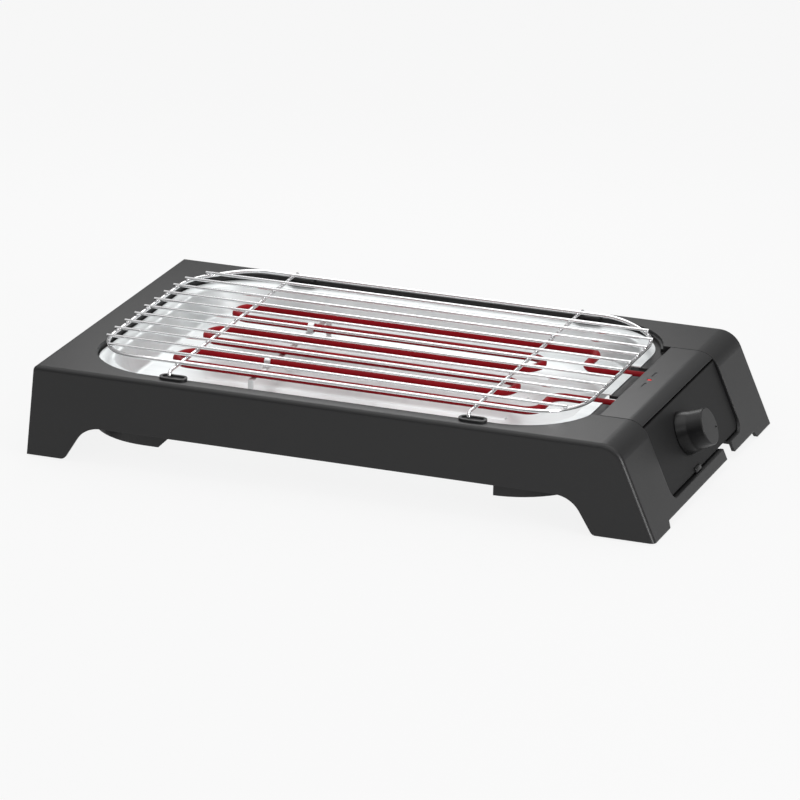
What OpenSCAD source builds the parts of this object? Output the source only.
// Electric table grill: black housing, lift-out drip tray, heating element on a plug-in
// control unit, and a wire rack. The origin lies on the floor under the middle of the whole.
// Right is +X, where the control unit sits. Front is -Y.

/* [Housing] */
// Length from the left foot to the right foot, at the floor
body_l = 517; // [500:1:560]
// Width from front to back
body_w = 303; // [296:1:340]
// Height of the top surface
body_h = 75; // [70:1:85]
// Wall of the moulding
wall_t = 2.6; // [2:0.1:3.2]
// Lean of the control end, from upright
end_slope = 23.6; // [15:0.1:30]
// Draft of the left end, from upright
left_draft = 5; // [0:0.5:8]
// Radius of the bend between the top and the control end
bend_r = 20; // [12:1:26]
// Rounding along the front and back edges
edge_r = 4; // [3:0.5:6]
// Rounding of the left top edge
left_edge_r = 3; // [2:0.5:5]

/* [Feet] */
// Height of the arch between the feet
arch_h = 30; // [20:1:36]
// Length of a left foot, along the front
foot_left_l = 31.6; // [26:0.2:40]
// Length of a right foot, along the front
foot_right_l = 50; // [40:0.5:60]
// Width of each foot, along the ends
foot_end_w = 39; // [30:0.5:45]
// Lean of the arch's flanks, from level
arch_lean = 58.5; // [45:0.5:80]
// Rounding at the top of the arch
arch_r = 24; // [4:1:36]
// Rounding of the feet's inner corners
foot_r = 5; // [1:0.5:6]
// Gap under the end walls, above the walls' own lower edge
end_gap_h = 5; // [3:0.5:10]
// Height of the rubber pads below the walls
pad_h = 1.2; // [0.8:0.1:2]
// Radius of a rubber pad
pad_r = 6.5; // [5:0.5:8]

/* [Well] */
// Distance from the left foot to the well
well_left = 32.6; // [28:0.2:40]
// Distance from the well to the right foot
end_l = 71.9; // [68:0.1:90]
// Width of the top beside the well, at the front and the back
side_l = 14.5; // [12:0.5:24]
// Corner radius of the well
well_r = 62; // [50:1:70]
// Depth of the tray's rim below the top surface
rim_drop = 5; // [4:0.5:8]
// Width of the ledge that carries the tray
ledge_w = 6; // [3:0.5:8]
// Depth of the well's wall below the ledge
skirt_h = 9; // [6:1:14]
// Height of the corner supports' lower edge
support_z = 17.5; // [12:0.5:24]
// Length of the left corner supports, from the well's end
support_left_l = 81; // [70:1:90]
// Length of the right corner supports, from the well's end
support_right_l = 60; // [58:1:80]

/* [Drip tray] */
// Sheet thickness of the tray
tray_t = 0.8; // [0.5:0.1:1.2]
// Gap between the tray's rim and the well
tray_gap = 1.5; // [0.5:0.1:2]
// Gap between the tray's rim and the well at the control unit
tray_gap_right = 4.5; // [1.5:0.1:5]
// Width of the tray's rim
rim_w = 12; // [8:0.5:16]
// Depth of the basin
basin_h = 22; // [18:0.5:26]
// Width that the sloping walls of the basin take
basin_run = 10; // [6:0.5:14]
// Width of the notch over each heater leg
notch_w = 21; // [14:0.5:24]
// Number of stiffening beads in the floor
bead_n = 3; // [1:1:5]
// Distance between the beads
bead_pitch = 52; // [40:1:56]
// Height of a bead
bead_h = 0.9; // [0.6:0.1:1.5]

/* [Heating element] */
// Diameter of the sheathed tube
tube_d = 6.5; // [6:0.1:8]
// Depth of the tube's centre line below the top surface
tube_drop = 8.5; // [7:0.5:11]
// Distance between two runs
run_pitch = 31; // [28:0.5:33]
// Distance from the ring's left end to the left bends' centres
bend_left_in = 69; // [60:1:90]
// Distance from the ring's right end to the right bends' centres
bend_right_in = 91; // [82:1:110]
// Distance from the ring's right end to the two joggles
joggle_in = 42.5; // [35:0.5:50]
// Bending radius of the joggles
joggle_r = 11; // [8:0.5:13]
// Half the distance between the two legs
leg_y = 36.5; // [34:0.5:40]
// Distance of the support strap from the ring's left end
strap_in = 124; // [100:1:160]
// Width of the support strap
strap_w = 9; // [6:0.5:14]
// Thickness of the strap and clips
strap_t = 0.8; // [0.6:0.1:1.2]

/* [Rack] */
// Distance of the rack's middle to the left of the well's
rack_shift = 1.25; // [0:0.05:2]
// Number of long bars
bar_n = 11; // [9:2:11]
// Distance between two bars
bar_pitch = 20; // [18:0.5:21]
// Diameter of a bar
bar_d = 2.5; // [2:0.1:3]
// Height of the bars' centre lines above the top surface
bar_rise = 7.6; // [7:0.1:9]
// How far a bar's end reaches past the ring's wire
bar_over = 2; // [0:0.5:3]
// Diameter of the ring wire
ring_d = 3; // [2.5:0.1:4]
// Distance between the well's ends and the ring's wire
ring_gap_x = 6.25; // [5:0.25:12]
// Distance between the well's sides and the ring's wire
ring_gap_y = 16; // [12:0.5:20]
// Corner radius of the ring
ring_r = 55; // [40:1:60]
// Diameter of the cross wires
cross_d = 3; // [2.5:0.1:4]
// Distance of each cross wire from the ring's end
cross_in = 76.8; // [70:0.1:100]
// Distance of a cross wire's turned-down ends inside the well's sides
cross_inset = 0.8; // [0:0.1:2]
// Gap at each weld of the rack
weld_gap = 0.05; // [0.02:0.01:0.1]
// Length of a rack seat
seat_l = 22.5; // [20:0.5:32]
// Distance that a seat's middle lies to the right of its wire
seat_dx = 4; // [0:0.5:5]
// Width of a rack seat
seat_w = 11; // [9:0.5:12]
// Height of a rack seat above the top surface
seat_h = 1.7; // [1.2:0.1:2.5]

/* [Control unit] */
// Gap between the unit and the well's wall
unit_gap = 4.4; // [1:0.1:5]
// Width of the unit
unit_w = 177; // [165:1:180]
// Gap at each side of the unit, in its slot
slot_gap = 0.8; // [0.4:0.1:1.2]
// Height of the sill below the unit
sill_z = 14.4; // [12:0.2:18]
// Wall of the unit's covers
cover_t = 2.2; // [1.8:0.1:2.8]
// Depth of the sloping panel below the housing's surface
panel_recess = 2.2; // [1:0.1:3]
// Thickness of the sloping panel
panel_t = 2.5; // [2:0.1:3]
// Angle on the bend at which the upper cover ends
lip_angle = 50; // [44:1:60]
// Width of the groove between the upper cover and the panel
groove_w = 2.2; // [1.5:0.1:3]
// Depth of the seam between the upper and lower covers below the top surface
seam_drop = 31; // [25:1:39]
// Corner radius at the panel's lower end
panel_r = 9; // [5:0.5:12]
// Gap between the unit's bottom and the floor of its pocket
seat_gap = 0.3; // [0.2:0.05:0.5]

/* [Knob] */
// Sideways place of the knob, from the middle
knob_y = -18; // [-40:0.5:40]
// Depth of the knob's axis on the panel below the top surface
knob_drop = 31.4; // [27:0.1:35]
// Height of the knob
knob_h = 22; // [16:0.5:24]
// Radius of the knob's front face
knob_r = 14.8; // [13:0.1:17]
// Rounding of the knob's front edge
knob_edge_r = 0.8; // [0.4:0.1:1.2]
// Radius of the knob's skirt
skirt_r = 17.8; // [16:0.1:20]
// Height of the flared skirt
skirt_flare_h = 9; // [5:0.5:12]
// Gap between the knob and the panel
knob_gap = 0.4; // [0.3:0.1:1]
// Direction of the pointer at rest, below level
pointer_angle = 20; // [0:5:90]
// Radius of the thermostat's shaft
shaft_r = 3; // [2.5:0.1:3.5]
// Running clearance of the shaft, on the radius
shaft_gap = 0.05; // [0.02:0.01:0.09]

/* [Cord inlet] */
// Sideways place of the cord's outlet
cord_y = 49; // [46:0.5:52]
// Width of the notch in the sill
cord_notch_w = 20; // [18:0.5:22]
// Diameter of the cord that the bush takes
cord_d = 7; // [6:0.1:8]
// Clearance of the cord in its bush, on the radius
cord_gap = 0.1; // [0.05:0.01:0.2]

/* [Inside the unit] */
// Distance of the indicator from the right foot
lamp_in = 58; // [54:0.5:62]
// Distance from a heater leg to its plate's screw
plate_screw_out = 12; // [9:0.5:14]
// Distance from a heater leg to the end of its plate
plate_edge = 18; // [14:0.5:22]
// Length of the cover screws
cover_screw_l = 13; // [10:0.5:16]
// Length of the thermostat's bracket
bracket_l = 36; // [32:0.5:40]
// Width of the thermostat's bracket
bracket_w = 26; // [20:0.5:30]
// Radius of the thermostat's body
stat_r = 11.5; // [10:0.5:13]
// Length of the thermostat's body
stat_l = 17; // [12:0.5:20]

/* [Hidden] */
$fn = 48;
eps = 0.01;
far = 400;

// Sine, cosine and tangent of the control end's lean
sin_e = sin(end_slope);
cos_e = cos(end_slope);
tan_e = tan(end_slope);
knob_z = body_h - knob_drop;
// How far the knob's rim reaches past the right foot
knob_top = knob_gap + knob_h;
knob_reach = knob_top * cos_e + knob_r * sin_e - knob_edge_r * (cos_e + sin_e - 1)
    - panel_recess / cos_e - (knob_z - pad_h) * tan_e;
total_l = body_l + max(0, knob_reach);
x_left = -total_l / 2;
x_right = x_left + body_l;
well_l = body_l - well_left - end_l;
well_w = body_w - 2 * side_l;

// x of the sloping face, and of the left face, at a height and a depth below the surface
function face_x(z, depth = 0) = x_right - (z - pad_h) * tan_e - depth / cos_e;
function left_x(z, depth = 0) = x_left + (z - pad_h) * tan(left_draft) + depth / cos(left_draft);

// Centre of the bend between the top and the control end
bend_z = body_h - bend_r;
bend_x = face_x(bend_z, 0) - bend_r / cos_e;

// Room under a piece that lies loose on another, and round a screw or a seated piece
rest_gap = 0.05;
fit = 0.05;

// Levels of the well, the tray and the unit
rim_z = body_h - rim_drop;
ledge_z = rim_z - tray_t - rest_gap;
basin_z = rim_z - basin_h;
seam_z = body_h - seam_drop;
skirt_z = ledge_z - skirt_h;
floor_z = sill_z - seat_gap;
unit_z = floor_z + seat_gap;
// Ends of the opening in the top, and the right end of the well below the ledge
well_x0 = x_left + well_left;
well_x1 = well_x0 + well_l;
low_x1 = well_x1 - ledge_w / 3;
// The unit's left wall, and half the width of its slot
pocket_x0 = low_x1 + wall_t;
unit_x0 = pocket_x0 + unit_gap;
slot_y = unit_w / 2 + slot_gap;
// Back of the sloping panel, below the housing's surface
panel_back = panel_recess + panel_t;
// Heater: places of the runs, and the plane of its mounting plate
tube_z = body_h - tube_drop;
tube_r = tube_d / 2;
run_n = 6;
function run_y(i) = (2.5 - i) * run_pitch;
plate_x = unit_x0 + cover_t;
plate_t = 1.2;
tube_end = plate_x + 9;
tube_z0 = tube_z - tube_r;
notch_z = tube_z0 - 2;
// Rack: its middle, its extent, and the levels of the cross wires and the ring
rack_x = well_x0 + well_l / 2 - rack_shift;
ring_l = well_l - 2 * ring_gap_x;
ring_w = well_w - 2 * ring_gap_y;
bar_l = ring_l + 2 * bar_over;
cross_x = ring_l / 2 - cross_in;
cross_end_y = well_w / 2 - cross_inset;
bar_z = body_h + bar_rise;
cross_z = bar_z - bar_d / 2 - cross_d / 2 - weld_gap;
ring_side_z = cross_z + cross_d / 2 + ring_d / 2 + weld_gap;
ring_end_z = bar_z - bar_d / 2 - ring_d / 2 - weld_gap;
ring_half_x = ring_l / 2 - ring_r;
ring_half_y = ring_w / 2 - ring_r;
seat_y = cross_end_y + 1.3;
seat_floor = 0.5;
function seat_x(sx) = rack_x + sx * cross_x + seat_dx;
// Screws inside the unit
screw_r = 1.5;
screw_head_r = 3;
screw_head_h = 2;
post_r = 3.6;
boss_h = 4;
// Safety switch: its place, and the pip that holds its plunger pressed
switch_x = unit_x0 + 22;
switch_y = -62;
plunger_r = 1.5;
pip_top = unit_z + 1;

// One corner of an outline, rounded. Each point holds x, y and its radius.
function unit2(v) = v / norm(v);
function corner(a, b, c, r) =
    r <= 0 ? [[b[0], b[1]]] :
    let (p = [b[0], b[1]],
        u = unit2([a[0], a[1]] - p),
        v = unit2([c[0], c[1]] - p),
        half = acos(min(1, max(-1, u * v))) / 2,
        o = p + unit2(u + v) * r / sin(half),
        s = p + u * r / tan(half) - o,
        e = p + v * r / tan(half) - o,
        a0 = atan2(s[1], s[0]),
        turn = atan2(s[0] * e[1] - s[1] * e[0], s * e),
        n = max(2, ceil(abs(turn) / 6)))
    [for (i = [0 : n]) o + r * [cos(a0 + turn * i / n), sin(a0 + turn * i / n)]];
function rounded(pts) = let (n = len(pts))
    [for (i = [0 : n - 1]) each corner(pts[(i + n - 1) % n], pts[i], pts[(i + 1) % n], pts[i][2])];
function oblong(x0, x1, y0, y1, r) = rounded([[x0, y0, r], [x1, y0, r], [x1, y1, r], [x0, y1, r]]);

// A prism of an outline in x and y, between two heights
module slab(pts, z0, z1) {
    translate([0, 0, z0]) linear_extrude(z1 - z0) polygon(pts);
}

// A prism of an outline in x and z, between two widths
module along_y(pts, y0, y1) {
    translate([0, y1, 0]) rotate([90, 0, 0]) linear_extrude(y1 - y0) polygon(pts);
}

// A prism of an outline in y and z, between two places along the length
module along_x(pts, x0, x1) {
    translate([x0, 0, 0]) rotate([90, 0, 90]) linear_extrude(x1 - x0) polygon(pts);
}

module block(x0, x1, y0, y1, z0, z1) {
    translate([x0, y0, z0]) cube([x1 - x0, y1 - y0, z1 - z0]);
}

// Frame of the sloping face: z out of the face, y level, at a height and depth
module on_face(y, z, depth = 0) {
    translate([face_x(z, depth), y, z]) rotate([0, 90 - end_slope, 0]) children();
}

// Housing

module end_band(reach) {
    // outline of the body's width, with its two outer edges rounded
    polygon(rounded([[-body_w / 2, -reach, 0], [body_w / 2, -reach, 0],
        [body_w / 2, 0, edge_r], [-body_w / 2, 0, edge_r]]));
}

module housing_outside() {
    slope_l = (bend_z + bend_r * sin_e) / cos_e;
    slope_t = body_w / 6;
    corner_out = far / 10;
    difference() {
        union() {
            translate([x_left - 1, 0, body_h]) rotate([90, 0, 90])
                linear_extrude(bend_x - x_left + 1) end_band(body_h);
            translate([bend_x, 0, bend_z]) rotate([90, 0, 0]) rotate([0, 0, 90]) mirror([0, 1, 0])
                rotate_extrude(angle = 90 - end_slope, $fn = 144)
                    translate([bend_r, 0]) rotate([0, 0, -90]) end_band(bend_r);
            translate([face_x(0), 0, 0]) rotate([0, -end_slope, 0]) translate([0, 0, -slope_t])
                linear_extrude(slope_l + slope_t) rotate([0, 0, -90]) end_band(slope_t);
        }
        block(x_left - far, x_right + far, -far, far, -far, pad_h);
        along_y(rounded([[x_left - corner_out, -corner_out, 0],
            [left_x(-corner_out), -corner_out, 0],
            [left_x(body_h), body_h, left_edge_r],
            [left_x(body_h) + corner_out, body_h, 0],
            [left_x(body_h) + corner_out, body_h + corner_out, 0],
            [x_left - corner_out, body_h + corner_out, 0]]), -far, far);
    }
}

module housing_inside() {
    top = body_h - wall_t;
    half = body_w / 2 - wall_t;
    along_y(rounded([[left_x(-5, wall_t), -5, 0], [face_x(-5, wall_t), -5, 0],
        [face_x(top, wall_t), top, bend_r - wall_t], [left_x(top, wall_t), top, 1]]), -half, half);
}

// Arch through the front and back walls, between the feet
module arch_cut() {
    x0 = x_left + foot_left_l;
    x1 = x_right - foot_right_l;
    run = (arch_h - pad_h) / tan(arch_lean);
    along_y(rounded([[x0 - 15, pad_h - 9, 0], [x0 - 15, pad_h, 0], [x0, pad_h, foot_r],
        [x0 + run, arch_h, arch_r], [x1 - run, arch_h, arch_r], [x1, pad_h, foot_r],
        [x1 + 15, pad_h, 0], [x1 + 15, pad_h - 9, 0]]), -far, far);
}

// Raised lower edge of both end walls
module end_gap_cut() {
    y1 = body_w / 2 - foot_end_w;
    top = pad_h + end_gap_h;
    along_x(rounded([[-y1 - 8, pad_h - 9, 0], [y1 + 8, pad_h - 9, 0], [y1 + 8, pad_h, 0],
        [y1, pad_h, 1.5], [y1 - 2.5, top, 1.5], [-y1 + 2.5, top, 1.5], [-y1, pad_h, 1.5],
        [-y1 - 8, pad_h, 0]]), x_left - far, x_right + far);
}

function well_outline(d) = oblong(well_x0 - d, low_x1 + d, -well_w / 2 - d, well_w / 2 + d,
    well_r + d);

// Boss for a rubber pad, with ribs to the two walls of its foot
module foot_boss(x, y, end_x) {
    side = sign(y);
    rib_t = 2;
    rib_top = 24;
    translate([x, y, pad_h]) cylinder(r = pad_r + 1.5, h = 11);
    block(x - rib_t / 2, x + rib_t / 2, min(y, side * (body_w / 2 - 1)),
        max(y, side * (body_w / 2 - 1)), pad_h, rib_top);
    block(min(x, end_x), max(x, end_x), y - rib_t / 2, y + rib_t / 2, pad_h, 11);
}

foot_xs = [x_left + 15, x_right - 24];
foot_ys = [-body_w / 2 + 17, body_w / 2 - 17];
peg_r = 2.9;

module at_feet() {
    for (x = foot_xs, y = foot_ys) translate([x, y, 0]) children();
}

module corner_supports() {
    y0 = well_w / 2 - well_r;
    xl = well_x0 + support_left_l;
    xr = low_x1 - support_right_l;
    intersection() {
        slab(well_outline(wall_t), support_z, skirt_z + 1);
        for (side = [-1, 1]) {
            along_y([[well_x0 - far, support_z - 1], [xl - 8, support_z - 1],
                [xl, support_z + 7], [xl, skirt_z + 2], [well_x0 - far, skirt_z + 2]],
                side > 0 ? y0 : -far, side > 0 ? far : -y0);
            block(xr, far, side > 0 ? slot_y : -far, side > 0 ? far : -slot_y,
                support_z - 1, skirt_z + 2);
        }
    }
}

module seat_pegs(r, z0, z1) {
    for (sx = [-1, 1], sy = [-1, 1], p = [-1, 1])
        translate([seat_x(sx) + p * seat_l * 0.3, sy * (seat_y + 2.5), z0])
            cylinder(r = r, h = z1 - z0);
}

module housing() {
    pocket_y = slot_y + wall_t;
    color([0.13, 0.13, 0.14]) difference() {
        union() {
            difference() {
                housing_outside();
                housing_inside();
                arch_cut();
                end_gap_cut();
            }
            slab(well_outline(wall_t), skirt_z, body_h - wall_t / 2);
            corner_supports();
            along_y([[pocket_x0 - wall_t, floor_z - wall_t],
                [face_x(floor_z - wall_t, wall_t / 2), floor_z - wall_t],
                [face_x(bend_z, wall_t / 2), bend_z],
                [bend_x, body_h - wall_t / 2], [pocket_x0 - wall_t, body_h - wall_t / 2]],
                -pocket_y, pocket_y);
            for (x = foot_xs, y = foot_ys)
                foot_boss(x, y, x < 0 ? left_x(6, 1) : face_x(12, 1));
        }
        // the well: above the ledge, through the ledge, and below it
        slab(oblong(well_x0, well_x1, -well_w / 2, well_w / 2, well_r), body_h - wall_t, body_h + 1);
        slab(well_outline(0), ledge_z, body_h - wall_t + eps);
        slab(well_outline(-ledge_w), support_z - 1, ledge_z + eps);
        slab(well_outline(0), support_z - 1, ledge_z - wall_t);
        // the unit's pocket, open to the top and to the well above the ledge
        along_y([[pocket_x0, floor_z], [face_x(floor_z, wall_t), floor_z],
            [face_x(body_h + 9, wall_t), body_h + 9], [pocket_x0, body_h + 9]], -slot_y, slot_y);
        block(well_x1 - 14, pocket_x0 + 1, -slot_y, slot_y, ledge_z, body_h + 9);
        along_x(rounded([[-slot_y, sill_z, panel_r + slot_gap], [slot_y, sill_z, panel_r + slot_gap],
            [slot_y, body_h + 9, 0], [-slot_y, body_h + 9, 0]]), pocket_x0 + 4, x_right + 9);
        for (side = [-1, 1]) {
            block(low_x1 - ledge_w - 1, pocket_x0 + 1, side * leg_y - notch_w / 2,
                side * leg_y + notch_w / 2, notch_z - 1, body_h);
        }
        block(face_x(sill_z) - 30, x_right + 9, cord_y - cord_notch_w / 2,
            cord_y + cord_notch_w / 2, -1, sill_z + eps);
        seat_pegs(1.9, body_h - wall_t - 2, body_h + 1);
        at_feet() translate([0, 0, pad_h - 1]) cylinder(r = peg_r + 0.1, h = 7);
    }
    color([0.13, 0.13, 0.14]) translate([switch_x, switch_y, floor_z - eps])
        cylinder(r = plunger_r, h = pip_top - floor_z);
}

module foot_pads() {
    color([0.08, 0.08, 0.08]) at_feet() {
        cylinder(r = pad_r, h = pad_h);
        cylinder(r = peg_r, h = pad_h + 5);
    }
}

module rack_seats() {
    color([0.07, 0.07, 0.07]) {
        for (sx = [-1, 1], sy = [-1, 1]) {
            x = seat_x(sx);
            y = sy * seat_y;
            difference() {
                slab(oblong(x - seat_l / 2, x + seat_l / 2, y - seat_w / 2, y + seat_w / 2,
                    seat_w / 2 - 0.2), body_h, body_h + seat_h);
                slab(oblong(x - seat_l / 2 + 2.2, x + seat_l / 2 - 2.2, y - seat_w / 2 + 2.2,
                    y + seat_w / 2 - 2.2, seat_w / 2 - 2.4), body_h + seat_floor, body_h + 9);
            }
        }
        seat_pegs(1.8, body_h - wall_t - 1.5, body_h + seat_floor / 2);
    }
}

// Drip tray

rim_x0 = well_x0 + tray_gap;
rim_x1 = low_x1 - tray_gap_right;
rim_y = well_w / 2 - tray_gap;
rim_r = well_r - tray_gap;
seat_room = 1;

// Section of the pressed sheet, x inward from the rim's edge
module sheet_section() {
    wall_dx = tray_t / cos(atan(basin_run / basin_h));
    lean = basin_run / (basin_h - tray_t);
    floor_a = rim_w + basin_run + 4;
    polygon(rounded([[0, rim_z, 0], [rim_w, rim_z, 3], [rim_w + basin_run, basin_z, 4],
        [floor_a, basin_z, 0], [floor_a, basin_z - tray_t, 0],
        [rim_w + basin_run + lean * tray_t - wall_dx, basin_z - tray_t, 4 + tray_t],
        [rim_w + lean * tray_t - wall_dx, rim_z - tray_t, 3 - tray_t], [0, rim_z - tray_t, 0]]));
}

module drip_tray() {
    inner = rim_w + basin_run + 3;
    lx = rim_x1 - rim_x0 - 2 * rim_r;
    ly = 2 * rim_y - 2 * rim_r;
    color([0.8, 0.8, 0.81]) difference() {
        union() {
            for (side = [0, 180]) {
                translate([(rim_x0 + rim_x1) / 2, 0, 0]) rotate([0, 0, side]) {
                    translate([-lx / 2, -rim_y, 0]) rotate([90, 0, 90])
                        linear_extrude(lx) sheet_section();
                    translate([-(rim_x1 - rim_x0) / 2, ly / 2, 0]) rotate([90, 0, 0])
                        linear_extrude(ly) sheet_section();
                    for (flip = [-1, 1]) scale([flip, 1, 1])
                        translate([lx / 2, ly / 2, 0]) rotate_extrude(angle = 90, $fn = 96)
                            translate([rim_r, 0]) scale([-1, 1]) sheet_section();
                }
            }
            slab(oblong(rim_x0 + inner, rim_x1 - inner, -rim_y + inner, rim_y - inner,
                rim_r - inner), basin_z - tray_t, basin_z);
            for (i = [0 : bead_n - 1])
                translate([(rim_x0 + rim_x1) / 2, (i - (bead_n - 1) / 2) * bead_pitch, basin_z - eps])
                    bead((rim_x1 - rim_x0) * 0.62);
        }
        for (side = [-1, 1])
            block(rim_x1 - rim_w - basin_run * (rim_z - notch_z) / basin_h - 1, rim_x1 + 5,
                side * leg_y - notch_w / 2, side * leg_y + notch_w / 2, notch_z, rim_z + 1);
        // room for the rack's seats, so that the rim passes them
        for (sx = [-1, 1], sy = [-1, 1])
            translate([seat_x(sx), sy * (seat_y + 1), rim_z])
                cube([seat_l + 2 * seat_room, seat_w + 2 + 2 * seat_room, 4], center = true);
    }
}

// Long shallow bead on the tray's floor
module bead(l) {
    w = 7;
    rotate([90, 0, 90]) translate([0, 0, -l / 2])
        linear_extrude(l) polygon([[-w / 2, 0], [-w / 4, bead_h], [w / 4, bead_h], [w / 2, 0]]);
}

// Heating element

module tube_x(x0, x1, y) {
    translate([x0, y, tube_z]) rotate([0, 90, 0]) cylinder(d = tube_d, h = x1 - x0);
}

module tube_bend(x, y, r, a0, turn) {
    translate([x, y, tube_z]) rotate([0, 0, a0])
        rotate_extrude(angle = turn) translate([r, 0]) circle(d = tube_d);
}

module heating_element() {
    xl = rack_x - ring_l / 2 + bend_left_in;
    xr = rack_x + ring_l / 2 - bend_right_in;
    xj = rack_x + ring_l / 2 - joggle_in;
    outer_y = run_y(0);
    color([0.45, 0.05, 0.06]) {
        for (i = [1 : run_n - 2]) tube_x(xl, xr, run_y(i));
        for (i = [0 : 2 : run_n - 1]) tube_bend(xl, run_y(i) - run_pitch / 2, run_pitch / 2, 90, 180);
        for (i = [1 : 2 : run_n - 2]) tube_bend(xr, run_y(i) - run_pitch / 2, run_pitch / 2, -90, 180);
        for (side = [-1, 1]) {
            tube_x(xl, xj - joggle_r, side * outer_y);
            tube_bend(xj - joggle_r, side * (outer_y - joggle_r), joggle_r, side > 0 ? 0 : -90, 90);
            translate([xj, side > 0 ? leg_y + joggle_r : -outer_y + joggle_r, tube_z])
                rotate([-90, 0, 0]) cylinder(d = tube_d, h = outer_y - leg_y - 2 * joggle_r);
            tube_bend(xj + joggle_r, side * (leg_y + joggle_r), joggle_r, side > 0 ? 180 : 90, 90);
            tube_x(xj + joggle_r, tube_end, side * leg_y);
        }
    }
}

strap_z = tube_z - tube_r - weld_gap;
strap_x = rack_x - ring_l / 2 + strap_in;

// Flat strap under the runs, with legs down to the tray
module element_strap() {
    half = run_y(0) + tube_r + 4;
    foot = 7;
    x = strap_x;
    low = basin_z + 0.3;
    color([0.75, 0.75, 0.76]) along_x([[-half, low], [-half + foot, low],
        [-half + foot, low + strap_t], [-half + strap_t, low + strap_t],
        [-half + strap_t, strap_z - strap_t], [half - strap_t, strap_z - strap_t],
        [half - strap_t, low + strap_t], [half - foot, low + strap_t], [half - foot, low],
        [half, low], [half, strap_z], [-half, strap_z]], x - strap_w / 2, x + strap_w / 2);
}

// Two saddles over the second and the fifth run, on the strap
module element_clips() {
    x = strap_x;
    r = tube_r + weld_gap;
    w = 5;
    color([0.85, 0.85, 0.86]) for (i = [1, run_n - 2]) difference() {
        translate([x - w / 2, run_y(i), tube_z]) rotate([90, 0, 90]) linear_extrude(w) union() {
            circle(r = r + strap_t);
            translate([-r - strap_t, -tube_r]) square([2 * (r + strap_t), tube_r]);
            translate([-r - 4, -tube_r]) square([2 * (r + 4), strap_t]);
        }
        translate([x - w, run_y(i), tube_z]) rotate([90, 0, 90]) linear_extrude(2 * w) union() {
            circle(r = r);
            translate([-r, -2 * r]) square([2 * r, 2 * r]);
        }
    }
}

// Steel plate that carries the two legs inside the unit
plate_half = leg_y + plate_edge;
plate_z0 = tube_z - 10;
plate_z1 = body_h - cover_t - 0.6;
plate_screw_y = leg_y + plate_screw_out;

module element_plate() {
    color([0.6, 0.6, 0.62]) difference() {
        block(plate_x, plate_x + plate_t, -plate_half, plate_half, plate_z0, plate_z1);
        for (side = [-1, 1]) {
            tube_hole(side * leg_y, tube_r + weld_gap);
            tube_hole(side * plate_screw_y, screw_r + fit);
        }
        tube_hole(0, screw_r + fit);
    }
}

module tube_hole(y, r) {
    translate([unit_x0 - 5, y, tube_z]) rotate([0, 90, 0]) cylinder(r = r, h = 30);
}

// Pan-head screw along -Z, its head's underside at the origin
module screw(l) {
    translate([0, 0, -l]) cylinder(r = screw_r, h = l);
    difference() {
        cylinder(r = screw_head_r, h = screw_head_h);
        for (a = [0, 90]) rotate([0, 0, a]) translate([-2, -0.4, screw_head_h - 1]) cube([4, 0.8, 2]);
    }
}

module plate_screws() {
    color([0.7, 0.7, 0.7]) for (side = [-1, 1])
        translate([plate_x + plate_t, side * plate_screw_y, tube_z]) rotate([0, 90, 0])
            screw(plate_t + cover_t);
}

module earth_screw() {
    x = plate_x + plate_t;
    color([0.8, 0.7, 0.3]) {
        difference() {
            block(x, x + 0.8, -4, 4, tube_z - 13, tube_z + 4);
            tube_hole(0, screw_r + fit);
        }
        translate([x + 0.8, 0, tube_z]) rotate([0, 90, 0]) screw(plate_t + cover_t);
    }
}

module heat_shield() {
    x = plate_x + 0.3;
    t = 0.6;
    z0 = unit_z + cover_t;
    half = plate_half + 5;
    color([0.72, 0.72, 0.73])
        along_y([[x, z0], [x + 12, z0], [x + 12, z0 + t], [x + t, z0 + t], [x + t, plate_z0 - 0.5],
            [x, plate_z0 - 0.5]], -half, half);
}

module element_insulators() {
    color([0.92, 0.9, 0.85]) for (side = [-1, 1]) translate([tube_end, side * leg_y, tube_z])
        rotate([0, 90, 0]) difference() {
            union() {
                cylinder(r = tube_r, h = 2);
                translate([0, 0, 2]) cylinder(r = tube_r - 0.9, h = 3);
            }
            translate([0, 0, -1]) cylinder(r = 1.25, h = 9);
        }
}

module element_pins() {
    color([0.75, 0.72, 0.6]) for (side = [-1, 1]) translate([tube_end, side * leg_y, tube_z])
        rotate([0, 90, 0]) {
            cylinder(r = 1.2, h = 8);
            translate([-3, -0.4, 7]) cube([6, 0.8, 7]);
        }
}

// Control unit

lip_z = bend_z + bend_r * sin(lip_angle);
lip_in = (bend_r - panel_back) / cos(lip_angle - end_slope);
lip_in_x = bend_x + lip_in * cos(lip_angle);
lip_in_z = bend_z + lip_in * sin(lip_angle);
panel_z0 = unit_z + 1.6;
panel_z1 = lip_z - groove_w;
tongue_t = 1;
tongue_z1 = lip_in_z - 0.6;
post_ys = [-unit_w / 2 + 8, unit_w / 2 - 8];
post_xs = [unit_x0 + 8, face_x(unit_z, panel_back) - 12];

// Points of the bend's arc at a radius, from an angle up to the level top
function bend_arc(r, a0) = [for (i = [0 : 8]) let (a = a0 + (90 - a0) * i / 8)
    [bend_x + r * cos(a), bend_z + r * sin(a)]];

// Side outline of the upper cover, and of the room inside it, which runs out past the panel
cover_side = concat([[unit_x0, seam_z], [face_x(seam_z, panel_back), seam_z],
    [lip_in_x, lip_in_z]], bend_arc(bend_r, lip_angle), [[unit_x0, body_h]]);
cover_room = concat([[unit_x0 + cover_t, seam_z - 9], [face_x(seam_z - 9, panel_recess), seam_z - 9]],
    bend_arc(bend_r - cover_t, lip_angle - 12), [[unit_x0 + cover_t, body_h - cover_t]]);

module at_posts() {
    for (x = post_xs, y = post_ys) translate([x, y, unit_z]) children();
}

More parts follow.
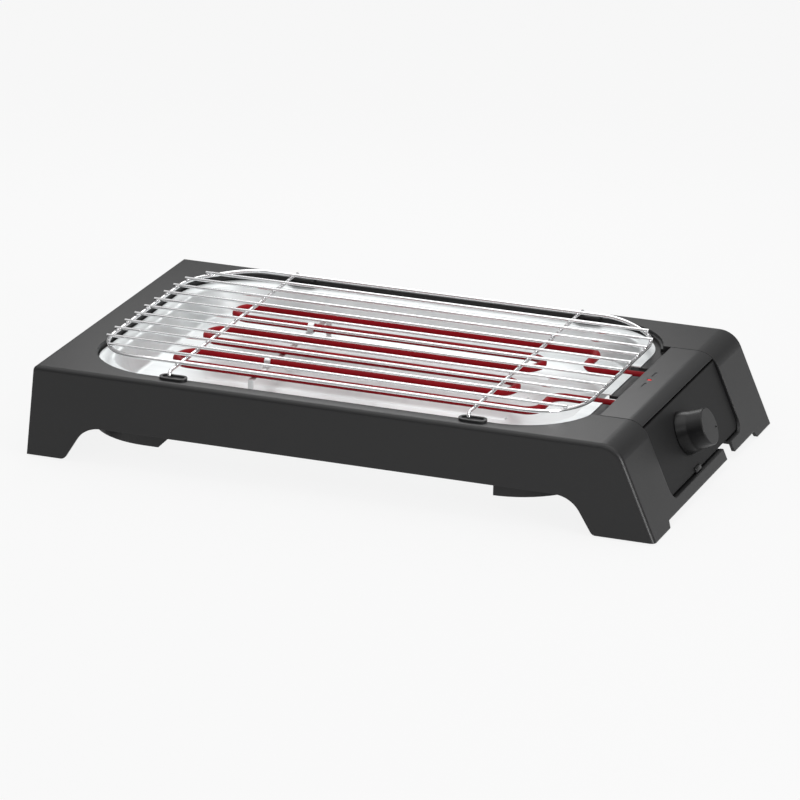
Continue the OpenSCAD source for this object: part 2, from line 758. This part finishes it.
module upper_cover() {
    half = unit_w / 2;
    color([0.2, 0.2, 0.21]) difference() {
        union() {
            difference() {
                along_y(cover_side, -half, half);
                along_y(cover_room, -half + cover_t, half - cover_t);
            }
            intersection() {
                at_posts() translate([0, 0, boss_h + fit]) cylinder(r = post_r, h = body_h);
                along_y(concat([[unit_x0, unit_z], [face_x(unit_z, panel_back + 1), unit_z]],
                    bend_arc(lip_in - 1.2, lip_angle), [[unit_x0, body_h - 1.2]]), -half, half);
            }
        }
        for (side = [-1, 1]) {
            tube_hole(side * leg_y, tube_r + 0.4);
            tube_hole(side * plate_screw_y, screw_r + fit);
        }
        tube_hole(0, screw_r + fit);
        at_posts() cylinder(r = screw_r + fit, h = 22);
        translate([lamp_x, lamp_y, body_h - 6]) cylinder(r = lens_r + 0.1, h = 9);
        for (side = [-1, 1]) {
            y = lamp_y + side * mark_y;
            slab(oblong(lamp_x - mark_w / 2, lamp_x + mark_w / 2, y - mark_l / 2, y + mark_l / 2,
                mark_w / 2 - 0.1), body_h - 0.4, body_h + 1);
        }
    }
}

module lower_cover() {
    half = unit_w / 2;
    color([0.12, 0.12, 0.13]) difference() {
        union() {
            difference() {
                along_y([[unit_x0, unit_z], [face_x(unit_z, panel_back), unit_z],
                    [face_x(seam_z, panel_back), seam_z - fit], [unit_x0, seam_z - fit]],
                    -half, half);
                block(unit_x0 + cover_t, x_right, -half + cover_t, half - cover_t,
                    unit_z + cover_t, seam_z + 1);
            }
            at_posts() cylinder(r = post_r + 1, h = boss_h);
        }
        at_posts() {
            translate([0, 0, -1]) cylinder(r = screw_r + 0.2, h = 9);
            translate([0, 0, -1]) cylinder(r = screw_head_r + 0.3, h = screw_head_h + 1.2);
        }
        translate([switch_x, switch_y, unit_z - 1]) cylinder(r = plunger_r + 0.7, h = 9);
        translate([cord_x, cord_y, unit_z - 1]) cylinder(r = bush_r + 0.1, h = 9);
    }
}

module cover_screws() {
    color([0.7, 0.7, 0.7]) at_posts() translate([0, 0, screw_head_h + 0.2]) rotate([180, 0, 0])
        screw(cover_screw_l);
}

module control_panel() {
    half = unit_w / 2;
    tongue = panel_back - tongue_t;
    color([0.1, 0.1, 0.11]) difference() {
        intersection() {
            along_y([[face_x(panel_z0, panel_recess), panel_z0],
                [face_x(panel_z1, panel_recess), panel_z1], [face_x(panel_z1, tongue), panel_z1],
                [face_x(tongue_z1, tongue), tongue_z1],
                [face_x(tongue_z1, panel_back - fit), tongue_z1],
                [face_x(panel_z0, panel_back - fit), panel_z0]], -half, half);
            along_x(rounded([[-half, panel_z0 - eps, panel_r], [half, panel_z0 - eps, panel_r],
                [half, body_h, 0], [-half, body_h, 0]]), unit_x0, x_right + 9);
        }
        on_face(knob_y, knob_z, panel_recess) translate([0, 0, -9])
            cylinder(r = bush_out_r + 0.1, h = 20);
    }
}

// Indicator in the top of the unit
lamp_x = x_right - lamp_in;
lamp_y = 6;
lens_r = 1.9;
mark_y = 13.5;
mark_l = 10;
mark_w = 1.8;

module indicator_lens() {
    color([0.8, 0.05, 0.05]) translate([lamp_x, lamp_y, body_h - cover_t - 0.8]) {
        cylinder(r = lens_r, h = cover_t + 0.5);
        cylinder(r = lens_r + 0.9, h = 0.75);
    }
}

module indicator_lamp() {
    color([0.9, 0.5, 0.3]) translate([lamp_x, lamp_y, body_h - cover_t - 0.8 - fit - 10]) {
        cylinder(r = 2, h = 10);
        for (dx = [-1, 1]) translate([dx, 0, -6]) cylinder(r = 0.4, h = 6.5);
    }
}

// Thermostat behind the panel
bush_out_r = 5;
bracket_t = 1.2;

module thermostat_bracket() {
    color([0.7, 0.7, 0.71]) on_face(knob_y, knob_z, panel_recess) difference() {
        union() {
            translate([-bracket_l / 2, -bracket_w / 2, -panel_t - bracket_t])
                cube([bracket_l, bracket_w, bracket_t - fit]);
            for (s = [-1, 1])
                translate([s * (bracket_l - bracket_t) / 2 - bracket_t / 2, -bracket_w / 2, -panel_t - 9])
                    cube([bracket_t, bracket_w, 8]);
        }
        translate([0, 0, -12]) cylinder(r = bush_out_r + 0.05, h = 20);
    }
}

module thermostat_bush() {
    color([0.8, 0.68, 0.35]) on_face(knob_y, knob_z, panel_recess) difference() {
        union() {
            translate([0, 0, -panel_t - 5]) cylinder(r = bush_out_r, h = panel_t + 8);
            translate([0, 0, -panel_t - 3.2]) cylinder(r = bush_out_r + 2, h = 1.95);
        }
        translate([0, 0, -20]) cylinder(r = shaft_r + shaft_gap, h = 40);
    }
}

module thermostat_nut() {
    color([0.8, 0.68, 0.35]) on_face(knob_y, knob_z, panel_recess) difference() {
        translate([0, 0, 0.05]) cylinder(r = bush_out_r + 2.8, h = 2.4, $fn = 6);
        translate([0, 0, -1]) cylinder(r = bush_out_r + 0.05, h = 9);
    }
}

module thermostat_body() {
    z1 = -panel_t - 3.2 - fit;
    color([0.85, 0.82, 0.75]) on_face(knob_y, knob_z, panel_recess) difference() {
        union() {
            translate([0, 0, z1 - stat_l]) cylinder(r = stat_r, h = stat_l);
            translate([-15.5, -5, z1 - 8]) cube([31, 10, 6]);
        }
        translate([0, 0, z1 - 2]) cylinder(r = bush_out_r + 0.1, h = 4);
        translate([0, 0, z1 - stat_l - 1]) cylinder(r = shaft_r + 0.5, h = 40);
    }
}

shaft_top = 15;

module thermostat_shaft() {
    color([0.75, 0.75, 0.76]) on_face(knob_y, knob_z, panel_recess) rotate([0, 0, 90 - pointer_angle])
        difference() {
            translate([0, 0, -panel_t - 3.4 - stat_l + 2]) cylinder(r = shaft_r,
                h = panel_t + 3.4 + stat_l - 2 + shaft_top);
            translate([shaft_r - 0.8, -5, 5]) cube([9, 10, 30]);
        }
}

module control_knob() {
    g = knob_gap;
    hub = 6;
    color([0.16, 0.16, 0.17]) on_face(knob_y, knob_z, panel_recess) rotate([0, 0, 90 - pointer_angle])
        difference() {
            rotate_extrude($fn = 96) polygon(rounded([[0, g + 5, 0], [hub, g + 5, 0],
                [skirt_r - 4, g + 5, 2], [skirt_r - 1.6, g, 0], [skirt_r, g, 0.4],
                [knob_r + 1.1, g + skirt_flare_h, 9],
                [knob_r, g + knob_h, knob_edge_r], [0, g + knob_h, 0]]));
            difference() {
                translate([0, 0, g]) cylinder(r = shaft_r + 0.02, h = shaft_top + 0.3 - g);
                translate([shaft_r - 0.77, -5, 0]) cube([9, 10, 40]);
            }
            translate([knob_r - 6, -0.7, g + knob_h - 0.5]) cube([4.2, 1.4, 2]);
        }
}

// Safety switch that the pip in the pocket holds pressed

module safety_switch() {
    z0 = unit_z + cover_t + 1.2;
    color([0.1, 0.1, 0.1]) translate([switch_x, switch_y, z0]) difference() {
        translate([-3.2, -10, 0]) cube([6.4, 20, 10.5]);
        translate([0, 0, -1]) cylinder(r = plunger_r + 0.1, h = 6.5);
        for (s = [-1, 1]) translate([-5, s * 7.5, 3]) rotate([0, 90, 0]) cylinder(r = 1.2, h = 10);
    }
    color([0.75, 0.72, 0.6]) translate([switch_x, switch_y, z0 + 10.4])
        for (s = [-1, 0, 1]) translate([-0.4, s * 6 - 1.6, 0]) cube([0.8, 3.2, 6]);
    color([0.1, 0.1, 0.1]) for (s = [-1, 1])
        translate([switch_x - 2, switch_y + s * 7.5, unit_z + cover_t]) cylinder(r = 1, h = 1.25);
}

module switch_plunger() {
    color([0.7, 0.1, 0.1]) translate([switch_x, switch_y, pip_top + 0.1])
        cylinder(r = plunger_r, h = unit_z + cover_t + 1.2 + 4.5 - pip_top - 0.1);
}

module terminal_block() {
    z0 = unit_z + cover_t + 0.05;
    color([0.9, 0.9, 0.86]) translate([unit_x0 + 26, -2, z0]) difference() {
        cube([17, 34, 13]);
        for (i = [0 : 2]) translate([-1, 6 + i * 11, 6]) rotate([0, 90, 0]) cylinder(r = 2, h = 20);
        for (i = [0 : 2], x = [4.5, 12.5]) translate([x, 6 + i * 11, 6]) cylinder(r = 1.8, h = 9);
    }
}

module thermal_fuse() {
    color([0.85, 0.82, 0.7]) translate([plate_x + plate_t + 2 + fit, 16, tube_z - 2])
        rotate([-90, 0, 0]) {
            cylinder(r = 2, h = 11);
            translate([0, 0, -5]) cylinder(r = 0.5, h = 21);
        }
}

// Cord inlet in the unit's floor
bush_r = 5.6;
cord_x = face_x(unit_z, panel_back) - 11;

module cord_bush() {
    color([0.07, 0.07, 0.07]) translate([cord_x, cord_y, 0]) difference() {
        union() {
            translate([0, 0, unit_z - 3]) cylinder(r = bush_r, h = cover_t + 6);
            translate([0, 0, unit_z - 3]) cylinder(r = bush_r + 1.5, h = 2.9);
            translate([0, 0, unit_z + cover_t + 0.1]) cylinder(r = bush_r + 1.5, h = 2);
        }
        translate([0, 0, unit_z - 9]) cylinder(r = cord_d / 2 + cord_gap, h = 30);
    }
}

module cord_clamp() {
    z0 = unit_z + cover_t + 4;
    r = cord_d / 2 + cord_gap;
    color([0.12, 0.12, 0.13]) translate([cord_x, cord_y, z0]) difference() {
        translate([-7.5, -13, 0.2]) cube([12, 26, 6]);
        translate([0, 0, -1]) cylinder(r = r, h = 9);
    }
    color([0.12, 0.12, 0.13]) for (s = [-1, 1])
        translate([cord_x - 1.5, cord_y + s * 10.5, unit_z + cover_t]) cylinder(r = 2, h = 4.25);
}

// Rack

// Closed tube along a list of points that lie nearly level
module wire_loop(pts, d, sides) {
    n = len(pts);
    rings = [for (i = [0 : n - 1]) let (t = unit2(pts[(i + 1) % n] - pts[(i + n - 1) % n]),
        side = unit2([t[1], -t[0], 0]), up = cross(side, t))
        for (k = [0 : sides - 1]) pts[i] + d / 2 * (cos(360 * k / sides) * side
            + sin(360 * k / sides) * up)];
    faces = [for (i = [0 : n - 1], k = [0 : sides - 1]) let (a = i * sides,
        b = ((i + 1) % n) * sides, k1 = (k + 1) % sides)
        each [[a + k, a + k1, b + k1], [a + k, b + k1, b + k]]];
    polyhedron(rings, faces);
}

// Level of the ring at an angle of its corner: low under the bars' ends, high on the sides
function ring_z(a) = let (s = min(1, max(0, (a - 42) / 48)))
    ring_end_z + (ring_side_z - ring_end_z) * s * s * (3 - 2 * s);

module rack_ring() {
    steps = 12;
    corner = [for (i = [0 : steps]) 90 * i / steps];
    quarter = [for (a = corner) [ring_half_x + ring_r * cos(a), ring_half_y + ring_r * sin(a),
        ring_z(a)]];
    turned = [for (i = [0 : steps]) quarter[steps - i]];
    pts = concat(quarter, [for (p = turned) [-p[0], p[1], p[2]]],
        [for (p = quarter) [-p[0], -p[1], p[2]]], [for (p = turned) [p[0], -p[1], p[2]]]);
    color([0.86, 0.86, 0.87]) translate([rack_x, 0, 0]) wire_loop(pts, ring_d, 12);
}

// Half a bar's length: it ends a little outside the ring
function bar_half(y) = abs(y) <= ring_half_y ? bar_l / 2 :
    bar_l / 2 - ring_r + sqrt(pow(ring_r, 2) - pow(abs(y) - ring_half_y, 2));

module rack_bars() {
    color([0.88, 0.88, 0.89]) for (i = [0 : bar_n - 1]) {
        y = (i - (bar_n - 1) / 2) * bar_pitch;
        translate([rack_x - bar_half(y), y, bar_z]) rotate([0, 90, 0])
            cylinder(d = bar_d, h = 2 * bar_half(y));
    }
}

module rack_cross_wires() {
    r = 3.5;
    tip = body_h + seat_floor + 0.3;
    half = cross_end_y - r;
    color([0.86, 0.86, 0.87]) for (sx = [-1, 1]) translate([rack_x + sx * cross_x, 0, 0]) {
        translate([0, -half, cross_z]) rotate([-90, 0, 0]) cylinder(d = cross_d, h = 2 * half);
        for (side = [-1, 1]) scale([1, side, 1]) {
            translate([0, half, cross_z - r]) rotate([90, 0, 90])
                rotate_extrude(angle = 90) translate([r, 0]) circle(d = cross_d);
            translate([0, cross_end_y, tip]) cylinder(d = cross_d, h = cross_z - r - tip);
        }
    }
}

housing();
foot_pads();
rack_seats();
drip_tray();
heating_element();
element_strap();
element_clips();
element_plate();
heat_shield();
upper_cover();
lower_cover();
control_panel();
thermostat_body();
thermostat_bracket();
thermostat_bush();
thermostat_nut();
thermostat_shaft();
control_knob();
indicator_lens();
indicator_lamp();
safety_switch();
switch_plunger();
terminal_block();
element_insulators();
element_pins();
thermal_fuse();
earth_screw();
cord_bush();
cord_clamp();
cover_screws();
plate_screws();
rack_ring();
rack_bars();
rack_cross_wires();
